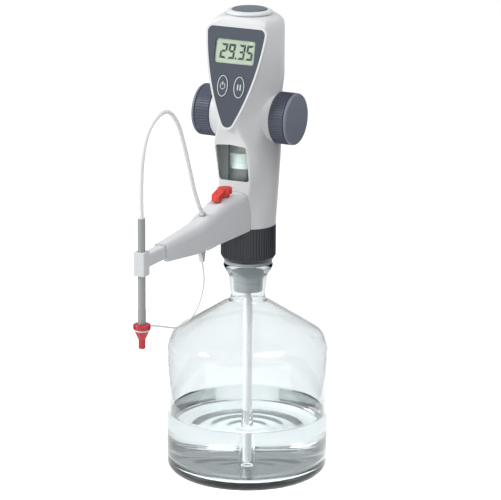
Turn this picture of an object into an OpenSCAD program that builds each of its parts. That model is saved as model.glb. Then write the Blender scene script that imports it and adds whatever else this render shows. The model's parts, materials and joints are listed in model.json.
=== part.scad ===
// Digital burette on a 2 litre glass bottle. Lengths in mm.
// +Z up, the front faces -Y, the origin lies under the bottle.

/* [Bottle] */
// Outer radius of the bottle
bottle_r = 75; // [70:1:80]
// Height where the straight wall ends
wall_top = 118.7; // [110:0.1:125]
// Glass thickness
glass_t = 3; // [2:0.5:4]
// Height of the rim
rim_z = 200; // [195:1:205]
// Height of the liquid
liquid_z = 58; // [30:1:100]

/* [Casing] */
// Wall of the casing
wall = 2.2; // [1.8:0.1:2.6]
// Bottom edge of the casing
casing_z = 237; // [236:0.5:238]
// Top deck of the casing
deck_z = 432; // [431:0.5:433]
// Plane where front and rear shells meet
split_y = 1; // [0:0.5:2]

/* [Panel] */
// Tilt of the control panel
panel_tilt = 12.5; // [10:0.5:14]
// Height of the display above the panel's lower point
lcd_s = 69.4; // [66:0.1:72]
// Half width of the display
lcd_half = 19.9; // [18:0.1:20]
// Sideways place of each key
key_x = 8.25; // [8:0.25:9]
// Height of the keys above the panel's lower point
key_s = 38; // [36:0.5:40]

/* [Drive] */
// Height of the handwheel axis
wheel_z = 339; // [338:0.5:340]
// Outer radius of a handwheel
wheel_r = 23.75; // [22:0.25:25]
// Outer face of a handwheel
wheel_out = 48.4; // [46:0.1:50]
// Module of the reduction gears
gear_m = 0.5; // [0.5:0.1:0.6]
// Module of the rack
rack_m = 0.8; // [0.8:0.1:1]
// Teeth of both pinions
pinion_n = 12; // [12:1:14]
// Teeth of the reduction gear
gear_n = 72; // [72:1:80]

/* [Piston] */
// Sideways axis of the cylinder
cyl_y = -10; // [-10.5:0.5:-9.5]
// Bore radius of the glass cylinder
cyl_r = 12.6; // [12.5:0.1:12.8]
// Underside of the piston
piston_z = 292.5; // [290:0.5:295]

/* [Arm] */
// Distance of the return valve from the column
valve_y = 47.2; // [46:0.1:49]
// Reach of the titrating tube
reach = 200.5; // [198:0.5:203]
// Mouth of the arm
mouth_y = 166.7; // [160:0.1:170]
// Radius of the titrating hose
hose_r = 2; // [1.8:0.1:2.2]
// Radius of the cap's tether
tether_r = 0.8; // [0.7:0.1:1]

/* [Hidden] */
$fn = 64;

shell_white = "#e8eaec";
arm_grey = "#b0b2b2";
slate = "#4b525c";
wheel_grey = "#4f5563";
nut_grey = "#34373b";
tube_grey = "#8c8f8f";
lever_red = "#e0453c";
cap_red = "#c83c44";
glass = "#dfe6e4";
steel = "#b8bcc0";
board_green = "#3d6b50";
white_plastic = "#f0f0ee";
black_plastic = "#26282b";

// fits
run_gap = 0.05;
part_gap = 0.2;

// neck of the bottle
neck_z = 160;
joint_r = 14.6;
joint_low_r = 13;
joint_low_z = rim_z - 32;
adapter_low_z = rim_z - 26.5;
collar_z = rim_z + 3.5;
ring_z = rim_z + 17;
flange_z = rim_z + 18;

// drive train
idler_y = -2.2;
shaft_y = split_y;
centre_d = gear_m * (pinion_n + gear_n) / 2;
idler_dz = sqrt(pow(centre_d, 2) - pow(shaft_y - idler_y, 2));
idler_z = wheel_z + idler_dz;
mesh_angle = atan2(idler_dz, idler_y - shaft_y);
rack_pitch_r = rack_m * pinion_n / 2;
rack_y = idler_y - rack_pitch_r;
rack_pitch = PI * rack_m;
pressure = 25;
backlash = 0.12;
shaft_r = 1.8;
wheel_in = 30.6;
cap_x = wheel_out - 3;
hub_r = 3;
bush_r = 6;

// cylinder and piston
cyl_bottom = 264;
cyl_top = 331;
glass_wall = 1.4;
rod_top = 391;

// panel outline: side arcs, lower tip and upper corners
side_r = 227;
side_x = -197.5;
side_s = 106.4;
tip_r = 6;
corner_r = 5;
shield_top = 90.9;
panel_foot_y = -44;
panel_foot_z = 334;

// direction in which the hose leaves the arm
hose_lean = 123.6;
// titrating hose, from the gland on the arm over the bend down to the guide tube: [y, z]
hose_up = [[-90.3, 265.7], [-93.6, 270.7], [-98.4, 278], [-106, 292], [-114, 311.5], [-121, 328.5],
    [-128, 343.5], [-134, 354.5], [-141, 362.5], [-148.5, 368.5], [-155, 371.2], [-160, 371.9]];
hose_down = [[-160, 371.9], [-166, 371.5], [-173, 369.5], [-180, 366.5], [-186, 362], [-191.5, 355.5],
    [-196, 346], [-199, 335], [-200.5, 322], [-201, 310], [-200.8, 299], [-200.5, 292], [-200.5, 288]];
// tether of the cap, from the lug under the arm down to the cap: [y, z]
tether_a = [[-90.6, 222], [-88.4, 214], [-87, 206], [-88, 198], [-92, 189.5], [-97.5, 182.8], [-103, 178.6]];
tether_b = [[-103, 178.6], [-109, 175.6], [-116, 173.8], [-124, 173], [-131, 172.9], [-137, 173]];
tether_c = [[-137, 173], [-144, 174.5], [-154, 177.8], [-164, 181], [-175, 184.6], [-184, 187],
    [-190.6, 187]];

// ---------- shared shapes ----------

// 2D shapes given as [y, z], drawn out along X from x0 to x1
module along_x(x0, x1) {
    translate([x0, 0, 0])
        rotate([90, 0, 90])
            linear_extrude(x1 - x0)
                children();
}

// 2D shapes given as [x, z], drawn out along Y from y0 to y1
module along_y(y0, y1) {
    translate([0, y1, 0])
        rotate([90, 0, 0])
            linear_extrude(y1 - y0)
                children();
}

module rod_x(x0, x1, r, y, z) {
    translate([x0, y, z])
        rotate([0, 90, 0])
            cylinder(h = x1 - x0, r = r);
}

module rod_y(y0, y1, r, x, z) {
    translate([x, y1, z])
        rotate([90, 0, 0])
            cylinder(h = y1 - y0, r = r);
}

module rod_z(z0, z1, r, x = 0, y = 0) {
    translate([x, y, z0])
        cylinder(h = z1 - z0, r = r);
}

module box(x0, x1, y0, y1, z0, z1) {
    translate([x0, y0, z0])
        cube([x1 - x0, y1 - y0, z1 - z0]);
}

module both_sides() {
    children();
    mirror([1, 0, 0]) children();
}

function arc(c, r, a0, a1, n) =
    [for (i = [0:n]) let (a = a0 + (a1 - a0) * i / n) [c[0] + r * cos(a), c[1] + r * sin(a)]];

function reversed(v) = [for (i = [len(v) - 1:-1:0]) v[i]];

function mirrored(v) = [for (p = v) [-p[0], p[1]]];

// Closed solid through rings of equal point count, each ring counted the same way round
module loft(rings) {
    n = len(rings[0]);
    m = len(rings);
    points = [for (r = rings) each r];
    sides = [for (j = [0:m - 2]) for (i = [0:n - 1])
        let (a = j * n + i, b = j * n + (i + 1) % n)
            each [[a, b + n, b], [a, a + n, b + n]]];
    first = [for (i = [0:n - 1]) i];
    last = [for (i = [n - 1:-1:0]) (m - 1) * n + i];
    polyhedron(points, concat([first], sides, [last]), convexity = 6);
}

// Round tube of 8 sides through [y, z] points in the plane X = 0, with flat ends square to end_a and end_b
module cord(path, r, end_a, end_b) {
    m = len(path);
    function lean(i) = i == 0 ? end_a : i == m - 1 ? end_b :
        atan2(path[i + 1][1] - path[i - 1][1], path[i + 1][0] - path[i - 1][0]);
    loft([for (i = [0:m - 1]) [for (k = [0:7])
        let (a = 22.5 + 45 * k, t = lean(i))
            [r * cos(a), path[i][0] - r * sin(a) * sin(t), path[i][1] + r * sin(a) * cos(t)]]]);
}

// Involute tooth: half angle of the tooth at radius rr, in degrees
function inv(a) = tan(a) * 180 / PI - a;
function half_tooth(m, n, rr) =
    let (rp = m * n / 2, rb = rp * cos(pressure),
        half = (PI * m / 2 - backlash / 2) / 2 / rp * 180 / PI)
    half + inv(pressure) - inv(acos(min(1, rb / max(rr, rb))));

// Spur gear outline with a tooth centred on angle 0
module gear_2d(m, n) {
    rp = m * n / 2;
    tip = rp + 0.8 * m;
    root = rp - m;
    radii = [root, root + 0.45 * m, rp - 0.2 * m, rp + 0.3 * m, tip];
    function flank(i, side, list) =
        [for (q = list) let (a = 360 / n * i + side * half_tooth(m, n, q)) [q * cos(a), q * sin(a)]];
    polygon([for (i = [0:n - 1]) each concat(flank(i, -1, radii), flank(i, 1, reversed(radii)))]);
}

// Knurled disc outline
module knurl_2d(r, n, depth) {
    polygon([for (i = [0:n - 1]) for (k = [0:3])
        let (a = 360 / n * (i + [0, 0.3, 0.5, 0.8][k]), q = r - [0, 0, depth, depth][k])
            [q * cos(a), q * sin(a)]]);
}

// ---------- bottle ----------

// Body and neck are one piece of glass, drawn as two nodes that meet at neck_z
module bottle_glass() {
    slope = 32;
    corner = 18;
    inner = bottle_r - glass_t;
    color(glass)
        rotate_extrude($fn = 128)
            polygon(concat(
                [[0, 0], [66, 0]],
                arc([66, 9], 9, -80, 0, 6),
                arc([bottle_r - corner, wall_top], corner, 0, 90 - slope, 6),
                [[20.2, 163], [17.9, 164.6], [16.6, 166.4], [16.2, 169]],
                [[18, 186.5], [19.5, 190.5], [22, 194]],
                arc([20.4, 197.4], 2.6, -30, 90, 6),
                [[joint_r, rim_z], [joint_low_r, joint_low_z], [13.2, 165.5], [15.5, 162.6]],
                arc([bottle_r - corner, wall_top], corner - glass_t, 90 - slope, 0, 6),
                arc([inner - 8, 15.5], 8, 0, -90, 6),
                [[0, 8.5]]));
}

module reagent_bottle() {
    difference() {
        bottle_glass();
        rod_z(neck_z, rim_z + 1, bottle_r);
    }
}

module bottle_neck() {
    difference() {
        bottle_glass();
        rod_z(-1, neck_z, bottle_r + 1);
    }
}

module reagent() {
    r = bottle_r - glass_t - part_gap;
    color("#eef3f2")
        difference() {
            rotate_extrude($fn = 128)
                polygon(concat(
                    [[0, 8.7]],
                    arc([r - 8, 15.7], 7, -90, -5, 5),
                    [[r, 18], [r, liquid_z], [0, liquid_z]]));
            rod_z(0, liquid_z + 1, 4.6);
        }
}

// ---------- neck ----------

module bottle_adapter() {
    bore = 9.5;
    gap = 0.08;
    taper = (joint_r - joint_low_r) / (rim_z - joint_low_z);
    function cone_r(z) = joint_low_r - gap + (z - joint_low_z) * taper;
    function groove(z) = [[cone_r(z), z], [cone_r(z) - 0.5, z + 0.4], [cone_r(z) - 0.5, z + 1.2],
        [cone_r(z + 1.6), z + 1.6]];
    thread = [for (i = [0:3]) let (z = collar_z + 1.2 + 3.2 * i)
        each [[21.2, z], [22.3, z + 0.3], [22.3, z + 1.1], [21.2, z + 1.4]]];
    color("#a9aeb2")
        rotate_extrude()
            polygon(concat(
                [[bore, adapter_low_z], [cone_r(adapter_low_z) - 0.6, adapter_low_z]],
                [[cone_r(adapter_low_z + 0.8), adapter_low_z + 0.8]],
                [for (z = [181, 190]) each groove(z)],
                [[cone_r(rim_z - 0.5), rim_z - 0.5], [cone_r(rim_z - 0.5), rim_z]],
                [[22.3, rim_z], [22.3, collar_z - 0.5], [21.2, collar_z]],
                thread,
                [[21.2, ring_z], [bore, ring_z]]));
}

module sealing_ring() {
    color(black_plastic)
        difference() {
            rod_z(ring_z, flange_z, 20);
            rod_z(ring_z - 1, flange_z + 1, 12);
        }
}

module union_nut() {
    top = casing_z - part_gap;
    lip = flange_z + 4.05;
    color(nut_grey)
        difference() {
            intersection() {
                translate([0, 0, collar_z])
                    linear_extrude(top - collar_z)
                        knurl_2d(25.5, 60, 0.6);
                rotate_extrude()
                    polygon([[0, collar_z], [22.9, collar_z], [25.6, 208], [25.6, top], [0, top]]);
            }
            rod_z(collar_z - 1, lip, 22.8);
            rod_z(lip - 1, lip + 4, 16.3);
            rod_z(lip + 3, top + 1, 22);
        }
}

// ---------- casing ----------

// Front of the casing at height z, where it lies in the plane of the panel
function panel_y(z) = panel_foot_y + (z - panel_foot_z) * tan(panel_tilt);

// Plan of the casing at one height: two front corners and two rear corners in one convex outline
// entry: [z, front half width, front y, front radius, rear centre x, rear centre y, rear radius]
SECTIONS = [
    [237, 12, -25.2, 11, 0.1, 0, 25.2],
    [252, 13, -26, 9, 0.1, 0, 26.2],
    [260, 14.5, -26.4, 5, 0.1, 0, 26.7],
    [268, 15.5, -27, 3.4, 0.1, 0, 27.2],
    [282, 17.5, -28.5, 3, 0.1, 0, 28],
    [317, 17.8, -36.6, 3.2, 0.1, 0, 29.5],
    [327, 14.5, -40, 3.6, 1.5, 0.5, 28.2],
    [338, 11, panel_y(338), 4, 4, 1, 26],
    [357, 16.4, panel_y(357), 3.6, 6.6, 2, 23.2],
    [378, 22.6, panel_y(378), 3.6, 10, 4.5, 21],
    [400, 27, panel_y(400), 3.8, 10, 4.5, 21],
    [421, 28.6, panel_y(421), 4.2, 10, 4.5, 21],
    [426, 27.8, -24.1, 6, 9.5, 4.2, 20.8],
    [429.8, 25, -23.1, 9, 6.5, 3, 21],
    [432, 20, -21.9, 15, 2.5, 1.4, 21.6]
];

function outline(s, t) =
    let (rf = s[3] - t, rr = s[6] - t,
        f = [s[1] - s[3], s[2] + s[3]], r = [s[4], s[5]],
        d = r - f, beta = atan2(d[1], d[0]),
        phi = beta - acos((rf - rr) / norm(d)),
        half = concat(arc(f, rf, -90, phi, 5), arc(r, rr, phi, 90, 15)))
    concat(half, reversed(mirrored(half)));

module casing_body(t) {
    loft([for (s = SECTIONS) [for (p = outline(s, t)) [p[0], p[1], s[0]]]]);
}

module on_panel() {
    translate([0, panel_foot_y, panel_foot_z])
        rotate([-panel_tilt, 0, 0])
            children();
}

// Shield outline of the panel, grown by g
module shield_2d(g) {
    tip_s = side_s - sqrt(pow(side_r - tip_r, 2) - pow(side_x, 2));
    top_s = shield_top - corner_r;
    top_x = side_x + sqrt(pow(side_r - corner_r, 2) - pow(top_s - side_s, 2));
    a0 = atan2(tip_s - side_s, -side_x);
    a1 = atan2(top_s - side_s, top_x - side_x);
    half = concat(
        arc([0, tip_s], tip_r + g, -90, a0, 5),
        arc([side_x, side_s], side_r + g, a0, a1, 9),
        arc([top_x, top_s], corner_r + g, a1, 90, 6));
    polygon(concat(half, reversed(mirrored(half))));
}

// Plate on the panel between local depths y0 and y1
module plate(y0, y1) {
    on_panel()
        along_y(y0, y1)
            children();
}

module rect_2d(x, s, hw, hh, r) {
    translate([x, s])
        polygon(concat(
            arc([hw - r, hh - r], r, 0, 90, 4), arc([-hw + r, hh - r], r, 90, 180, 4),
            arc([-hw + r, -hh + r], r, 180, 270, 4), arc([hw - r, -hh + r], r, 270, 360, 4)));
}

module oval_2d(x, s, hw, hh) {
    translate([x, s])
        polygon([for (i = [0:31]) [hw * cos(i * 11.25), hh * sin(i * 11.25)]]);
}

// Window outline in [x, z], drawn in by g
module window_2d(g) {
    polygon(concat(
        arc([11.7, 285.9], 3.4 - g, 270, 362, 5),
        arc([12.7, 314.2], 2.8 - g, 2, 85, 4),
        [[0, 318.1 - g]],
        arc([-12.7, 314.2], 2.8 - g, 95, 178, 4),
        arc([-11.7, 285.9], 3.4 - g, 178, 270, 5)));
}

module arm_passage() {
    arm_body(-part_gap, [[18, 272.4], [40, 272.2]]);
}

module front_housing() {
    color(shell_white) {
        difference() {
            union() {
                difference() {
                    union() {
                        casing_body(0);
                        plate(-0.7, 3) shield_2d(1.9);
                    }
                    intersection() {
                        casing_body(wall);
                        box(-40, 40, -60, 60, casing_z + 2, deck_z - 2.2);
                    }
                }
                both_sides() {
                    intersection() {
                        rod_x(26, 30, 22.3, shaft_y, wheel_z);
                        box(20, 31, -50, 0.99, 310, 370);
                    }
                    rod_z(422.2, deck_z - 1, 2, 10.5, -9);
                }
            }
            box(-50, 50, split_y, 60, 230, 440);
            plate(-3, 1) shield_2d(0.1);
            plate(-3, 9) rect_2d(0, lcd_s, 20.8, 12.4, 1);
            plate(-3, 9) rect_2d(0, key_s, 15.2, 11.4, 1);
            along_y(-60, -20) window_2d(0);
            arm_passage();
            rod_z(casing_z - 1, casing_z + 3, 16.1);
            rod_z(deck_z - 4, deck_z + 1, 8);
            rod_x(-31, 31, bush_r, shaft_y, wheel_z);
        }
        plate(1.6, 5.6) panel_posts_2d();
    }
}

module panel_posts_2d() {
    translate([18.6, 53]) circle(r = 1.5);
    translate([-18.6, 53]) circle(r = 1.5);
    translate([0, 15]) circle(r = 2);
    translate([18, 85.6]) circle(r = 1.5);
    translate([-18, 85.6]) circle(r = 1.5);
}

module cover_cut(g) {
    box(-14 + g, 14 - g, 12, 40, 380 + g, 424 - g);
}

module rear_housing() {
    color(shell_white)
        difference() {
            union() {
                difference() {
                    casing_body(0);
                    intersection() {
                        casing_body(wall);
                        box(-40, 40, -60, 60, casing_z + 2, deck_z - 2.2);
                    }
                }
                both_sides() {
                    rod_x(26, 30, 22.3, shaft_y, wheel_z);
                    rod_y(4, 18.4, 3, 20, 329);
                    rod_y(18.6, 24.2, 2.5, 5, 370);
                }
                rod_y(18.6, 24.5, 2.5, -5, 349);
                rod_y(18.6, 24.5, 2.5, 5, 349);
            }
            box(-50, 50, -60, split_y, 230, 440);
            cover_cut(0);
            rod_z(casing_z - 1, casing_z + 3, 16.1);
            rod_z(deck_z - 4, deck_z + 1, 8);
            rod_x(-31, 31, bush_r, shaft_y, wheel_z);
        }
}

module battery_cover() {
    color(shell_white)
        intersection() {
            difference() {
                casing_body(0);
                casing_body(wall);
            }
            cover_cut(0.3);
        }
}

module inspection_window() {
    color("#6f7a78")
        intersection() {
            along_y(-60, -20) window_2d(0.2);
            along_x(-20, 20)
                polygon([[-35.9, 320], [-34.3, 320], [-26.3, 280], [-27.9, 280]]);
        }
}

module control_panel() {
    color(slate)
        plate(-0.3, 1)
            difference() {
                shield_2d(0);
                rect_2d(0, lcd_s, lcd_half, 10.9, 2);
                oval_2d(key_x, key_s, 5.8, 10.2);
                oval_2d(-key_x, key_s, 5.8, 10.2);
            }
}

module display_lens() {
    color("#c4ccc4")
        plate(-0.1, 0.9)
            rect_2d(0, lcd_s, lcd_half, 10.9, 2);
}

module lcd_module() {
    color("#b4c0ae")
        plate(1, 5.6)
            rect_2d(0, lcd_s, 20.4, 12, 0.8);
}

module control_board() {
    color(board_green)
        plate(5.6, 7.2)
            shield_2d(-3.5);
}

module panel_switches() {
    color(black_plastic)
        both_sides()
            on_panel() {
                along_y(3.4, 5.6) rect_2d(key_x, key_s, 3, 3, 0.4);
                rod_y(2.9, 3.5, 1.5, key_x, key_s);
            }
}

module panel_key(x) {
    color(slate)
        on_panel() {
            along_y(-0.6, 1.1) oval_2d(x, key_s, 5.4, 9.8);
            along_y(1.1, 1.7) oval_2d(x, key_s, 6.3, 10.8);
            rod_y(1.7, 2.2, 1.5, x, key_s);
        }
}

module power_key() { panel_key(-key_x); }

module pause_key() { panel_key(key_x); }

// ---------- top of the casing ----------

module top_ring() {
    color(white_plastic)
        rotate_extrude()
            polygon([[16.4, deck_z], [20, deck_z], [20, deck_z + 0.9], [21.2, deck_z + 0.9],
                [21.2, deck_z + 2], [20.4, deck_z + 3.2], [18.2, deck_z + 4], [16.4, deck_z + 4]]);
}

module clear_key() {
    color("#56626c") {
        difference() {
            rotate_extrude()
                polygon([[0, 433.7], [15.9, 433.7], [15.9, 436], [15, 436.9], [9, 437.3], [0, 437.5]]);
            rod_z(433, 436, 13);
        }
        rod_z(425.9, 436.2, 2.4);
    }
}

module clear_key_spring() {
    wire = 0.5;
    turns = 4;
    coil_r = 5;
    z0 = 422.75;
    z1 = 435.45;
    steps = turns * 12;
    color(steel)
        loft([for (i = [0:steps])
            let (a = 360 * turns * i / steps, z = z0 + (z1 - z0) * i / steps)
                [for (k = [0:5]) let (b = 60 * k, q = coil_r + wire * cos(b))
                    [q * cos(a), q * sin(a), z + wire * sin(b)]]]);
}

module top_switch() {
    color(board_green)
        box(-13, 13, -12, 5, 420.6, 422.2);
    color(black_plastic) {
        box(-3, 3, -3, 3, 422.2, 423.6);
        rod_z(423.6, 424.2, 1.8);
    }
}

module battery_holder() {
    color(black_plastic)
        difference() {
            box(-12.6, 12.6, 5.8, 18.8, 379, 426.5);
            both_sides() {
                rod_z(380.2, 425.5, 5.4, 6.5, 12.5);
                box(0.6, 11.9, 12.5, 20, 380.2, 425.5);
            }
        }
}

module battery_cells() {
    color("#c8b060")
        both_sides() {
            rod_z(380.6, 424.3, 5.25, 6.5, 12.5);
            rod_z(424.3, 425.1, 1.9, 6.5, 12.5);
        }
}

module battery_contacts() {
    color(steel)
        both_sides() {
            rod_z(380.2, 380.6, 4, 6.5, 12.5);
            rod_z(425.1, 425.5, 4, 6.5, 12.5);
        }
}

module housing_screws() {
    color(steel)
        both_sides() {
            on_panel() {
                rod_y(7.2, 8.6, 2.3, 18.6, 53);
                rod_y(7.2, 8.6, 2.3, 18, 85.2);
            }
            rod_y(-2, 0, 2.6, 20, 329);
            rod_z(419.4, 420.6, 2, 10.5, -9);
        }
}

// ---------- drive ----------

// Wheel between x0 and x1, drawn for the right side
module wheel_blank() {
    difference() {
        union() {
            along_x(wheel_in, cap_x - 0.6)
                translate([shaft_y, wheel_z])
                    knurl_2d(wheel_r, 60, 0.5);
            rod_x(cap_x - 0.6, cap_x, wheel_r - 1.2, shaft_y, wheel_z);
        }
        difference() {
            rod_x(wheel_in - 1, cap_x - 3, wheel_r - 3, shaft_y, wheel_z);
            rod_x(wheel_in - 2, cap_x, bush_r, shaft_y, wheel_z);
        }
    }
}

module handwheel() {
    color(wheel_grey)
        difference() {
            union() {
                wheel_blank();
                rod_x(18, 32, hub_r, shaft_y, wheel_z);
            }
            rod_x(17, 60, shaft_r, shaft_y, wheel_z);
        }
}

module right_handwheel() { handwheel(); }

module left_handwheel() { mirror([1, 0, 0]) handwheel(); }

module wheel_caps() {
    color("#70757f")
        both_sides()
            translate([cap_x, shaft_y, wheel_z])
                rotate([0, 90, 0])
                    rotate_extrude()
                        polygon([[0, 0], [wheel_r - 0.3, 0], [wheel_r, 0.3], [wheel_r - 0.1, 1.4],
                            [wheel_r - 0.8, 2.5], [wheel_r - 2, 3], [1, 3], [0.6, 2.6], [0, 2.5]]);
}

module drive_shaft() {
    color(steel)
        rod_x(-cap_x, cap_x, shaft_r, shaft_y, wheel_z);
}

module shaft_bushes() {
    color("#c9b27a")
        both_sides()
            difference() {
                rod_x(24, 30, bush_r, shaft_y, wheel_z);
                rod_x(20, 31, hub_r + run_gap, shaft_y, wheel_z);
            }
}

module shaft_pinion() {
    color("#d8d2b8")
        difference() {
            along_x(7.5, 11.5)
                translate([shaft_y, wheel_z])
                    rotate(mesh_angle)
                        gear_2d(gear_m, pinion_n);
            rod_x(7, 12, shaft_r, shaft_y, wheel_z);
        }
}

module reduction_gear() {
    color("#e6e2d2")
        difference() {
            union() {
                along_x(8, 11)
                    translate([idler_y, idler_z])
                        rotate(mesh_angle + 180 + 180 / gear_n)
                            gear_2d(gear_m, gear_n);
                rod_x(4.5, 12, 4, idler_y, idler_z);
            }
            rod_x(4, 13, 1.55, idler_y, idler_z);
        }
}

module rack_pinion() {
    color("#d8d2b8")
        difference() {
            union() {
                along_x(-4.5, 4.5)
                    translate([idler_y, idler_z])
                        rotate(180)
                            gear_2d(rack_m, pinion_n);
                rod_x(-6.8, -4.5, 3, idler_y, idler_z);
            }
            rod_x(-8, 5, 1.55, idler_y, idler_z);
        }
}

module gear_pin() {
    color(steel)
        rod_x(-9.4, 14.6, 1.5, idler_y, idler_z);
}

module gear_frame() {
    color("#9aa0a4")
        difference() {
            union() {
                box(-8.8, -7, -16, 18.6, 345, 375);
                box(12.2, 14, -16, 18.6, 345, 375);
                box(-8.8, 14, 17, 18.6, 345, 375);
                box(-8.8, 5.5, -16, -13.1, 353, 366);
            }
            rod_x(-10, 15, 1.5, idler_y, idler_z);
        }
}

// ---------- cylinder and piston ----------

module glass_cylinder() {
    color(glass)
        difference() {
            rod_z(cyl_bottom, cyl_top, cyl_r + glass_wall, 0, cyl_y);
            rod_z(cyl_bottom - 1, cyl_top + 1, cyl_r, 0, cyl_y);
        }
}

module cylinder_retainer() {
    color("#9aa0a4")
        difference() {
            union() {
                rod_z(326, 333, 16.4, 0, cyl_y);
                both_sides()
                    box(10, 24, 0, 4, 326, 332);
            }
            rod_z(325, cyl_top, cyl_r + glass_wall, 0, cyl_y);
            rod_z(325, 334, cyl_r + 0.3, 0, cyl_y);
        }
}

module piston_rack() {
    first = 330.3;
    count = 24;
    tooth = idler_z - rack_pitch / 2;
    low = tooth - rack_pitch * ceil((tooth - first) / rack_pitch);
    // tooth half width at pitch line, tip and root
    w = rack_pitch / 4 - backlash / 4;
    wt = w - 0.8 * rack_m * tan(pressure);
    wr = w + rack_m * tan(pressure);
    color("#d5d2c6")
        along_x(-4, 4)
            polygon(concat(
                [[-13, rod_top], [-13, 307], [rack_y - rack_m, 307]],
                [for (i = [0:count - 1]) let (z = low + i * rack_pitch)
                    each [[rack_y - rack_m, z - wr], [rack_y + 0.8 * rack_m, z - wt],
                        [rack_y + 0.8 * rack_m, z + wt], [rack_y - rack_m, z + wr]]],
                [[rack_y - rack_m, rod_top]]));
}

module piston() {
    color("#e9ebe9")
        difference() {
            rod_z(piston_z + 4.7, 307, cyl_r - 0.1, 0, cyl_y);
            rod_z(piston_z, piston_z + 8, 4, 0, cyl_y);
        }
}

module piston_seal() {
    color("#f6f7f5") {
        rotate_extrude_at(cyl_y)
            polygon([[0, piston_z], [cyl_r - 0.6, piston_z], [cyl_r - run_gap, piston_z + 0.6],
                [cyl_r - run_gap, piston_z + 1.6], [cyl_r - 0.5, piston_z + 2.2],
                [cyl_r - run_gap, piston_z + 3], [cyl_r - run_gap, piston_z + 4],
                [cyl_r - 0.6, piston_z + 4.7], [0, piston_z + 4.7]]);
        rod_z(piston_z + 4.7, piston_z + 8, 4, 0, cyl_y);
    }
}

module rotate_extrude_at(y) {
    translate([0, y, 0])
        rotate_extrude()
            children();
}

// ---------- valve block ----------

module valve_block() {
    base = casing_z + 2;
    color("#c2c6c8")
        difference() {
            union() {
                rod_z(flange_z, flange_z + 4, 20.5);
                rod_z(flange_z, base, 16);
                rod_z(base, 262, 17.5);
                rod_z(248, 262, 13, 0, cyl_y);
                rod_z(262, cyl_bottom, 15, 0, cyl_y);
                rod_z(262, 267.5, cyl_r - 0.1, 0, cyl_y);
                box(-8, 8, -60, -10, 243, 259);
            }
            rod_z(flange_z - 1, 235, 6);
            rod_z(234, 251, 1.5);
            rod_z(250, 268, 1.5, 0, cyl_y);
            rod_y(-61, 0, 1.5, 0, 251);
            rod_y(-61, -54, 5, 0, 251);
            rod_z(245, 260, 3 + run_gap, 0, -valve_y);
        }
}

module filling_valve() {
    color("#e2e4e4")
        difference() {
            union() {
                rod_z(219, 235, 6);
                rod_z(212, 219.5, 2.2);
            }
            rod_z(211, 224, 1.3);
            rod_z(223, 231, 3.2);
            rod_z(230, 236, 1.3);
        }
    color(glass)
        translate([0, 0, 226])
            sphere(r = 2.6);
}

module discharge_valve() {
    color("#e2e4e4")
        difference() {
            union() {
                rod_y(-62, -54, 5, 0, 251);
                rod_y(-68, -61, 2, 0, 251);
            }
            rod_y(-69, -53, 1.2, 0, 251);
            rod_y(-60.5, -55.5, 3.2, 0, 251);
        }
    color(glass)
        translate([0, -58, 251])
            sphere(r = 2.3);
}

module valve_spindle() {
    color("#f2f2f0")
        difference() {
            rod_z(245.5, 278.5, 3, 0, -valve_y);
            rod_y(-valve_y - 5, -valve_y + 5, 1.5, 0, 251);
        }
}

module valve_lever() {
    y = -valve_y;
    color(lever_red)
        difference() {
            union() {
                rod_z(272.6, 276, 4.5, 0, y);
                rod_z(275.5, 280.5, 6.8, 0, y);
                intersection() {
                    along_x(-4.2, 4.2)
                        polygon([[y, 275.5], [y, 280.5], [y - 8, 280.2], [y - 17, 277.6], [y - 20.5, 275.4],
                            [y - 20.8, 272.4], [y - 19.5, 271.6], [y - 12.5, 271.6], [y - 11.5, 275.5]]);
                    union() {
                        rod_z(270, 282, 4.2, 0, y - 16.6);
                        box(-4.2, 4.2, y - 16.6, y, 270, 282);
                    }
                }
            }
            rod_z(272, 278.5, 3, 0, y);
        }
}

module feed_line() {
    color("#eef1f1")
        cord([[-68, 251], [-73, 251], [-78, 252], [-82, 254.4], [-84.4, 257.2], [-86.4, 260]],
            1.6, 180, hose_lean);
}

// ---------- arm ----------

// Crest height and half width along the arm, counted from the column outwards
function arm_half(d) = 12.9 - (d - 30) * 0.0431;
CREST = [[19, 272.4], [30, 272.3], [40, 272.2], [50, 272], [60, 270.9], [68, 269.3], [78, 267], [87, 265],
    [104, 260.8], [120, 259.7], [136, 258.7], [mouth_y, 257]];

// Arch across the arm: flat foot, straight sides, rounded shoulders
function arch(hw, foot, crest, r) =
    let (half = concat([[hw, foot]], arc([hw - r, crest - r], r, 0, 90, 6)))
    concat(half, reversed(mirrored(half)));

function foot(d) = d < 115 ? 236 : 236 + (d - 115) * 0.1025;

module arm_body(t, rings) {
    loft([for (c = rings) let (hw = arm_half(c[0]) - t, r = max(2.5, min(7, hw - 2)))
        [for (p = arch(hw, t > 0 ? 230 : foot(c[0]), c[1] - t, r)) [p[0], -c[0], p[1]]]]);
}

module titrating_arm() {
    inner = [for (c = CREST) if (c[0] < 125) [c[0] == 19 ? 18 : c[0], c[1]]];
    color(arm_grey)
        difference() {
            union() {
                difference() {
                    arm_body(0, CREST);
                    arm_body(1.7, inner);
                }
                along_x(-1.9, 1.9)
                    polygon([[-84, 237], [-101, 237], [-101, 236], [-96, 231], [-93, 226.5], [-92, 222],
                        [-89.2, 222], [-88, 228], [-84, 236]]);
                both_sides()
                    box(1.9, 11.4, -101, -84, 236, 238);
            }
            box(-5.35, 5.35, -mouth_y - 1, -118, 243.7, 255.3);
            box(-3.2, 3.2, -mouth_y - 1, -119, 230, 244);
            rod_z(249, 280, 15.3, 0, cyl_y);
            rod_z(230, casing_z + part_gap, 26);
            rod_z(260, 275, 3.3, 0, -valve_y);
            on_gland() {
                cylinder(h = 12, r = 2.2);
                translate([0, 0, 5]) cylinder(h = 7, r = 3.05);
            }
        }
}

module on_gland() {
    translate([0, -86.4, 260])
        rotate([hose_lean - 90, 0, 0])
            children();
}

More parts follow.
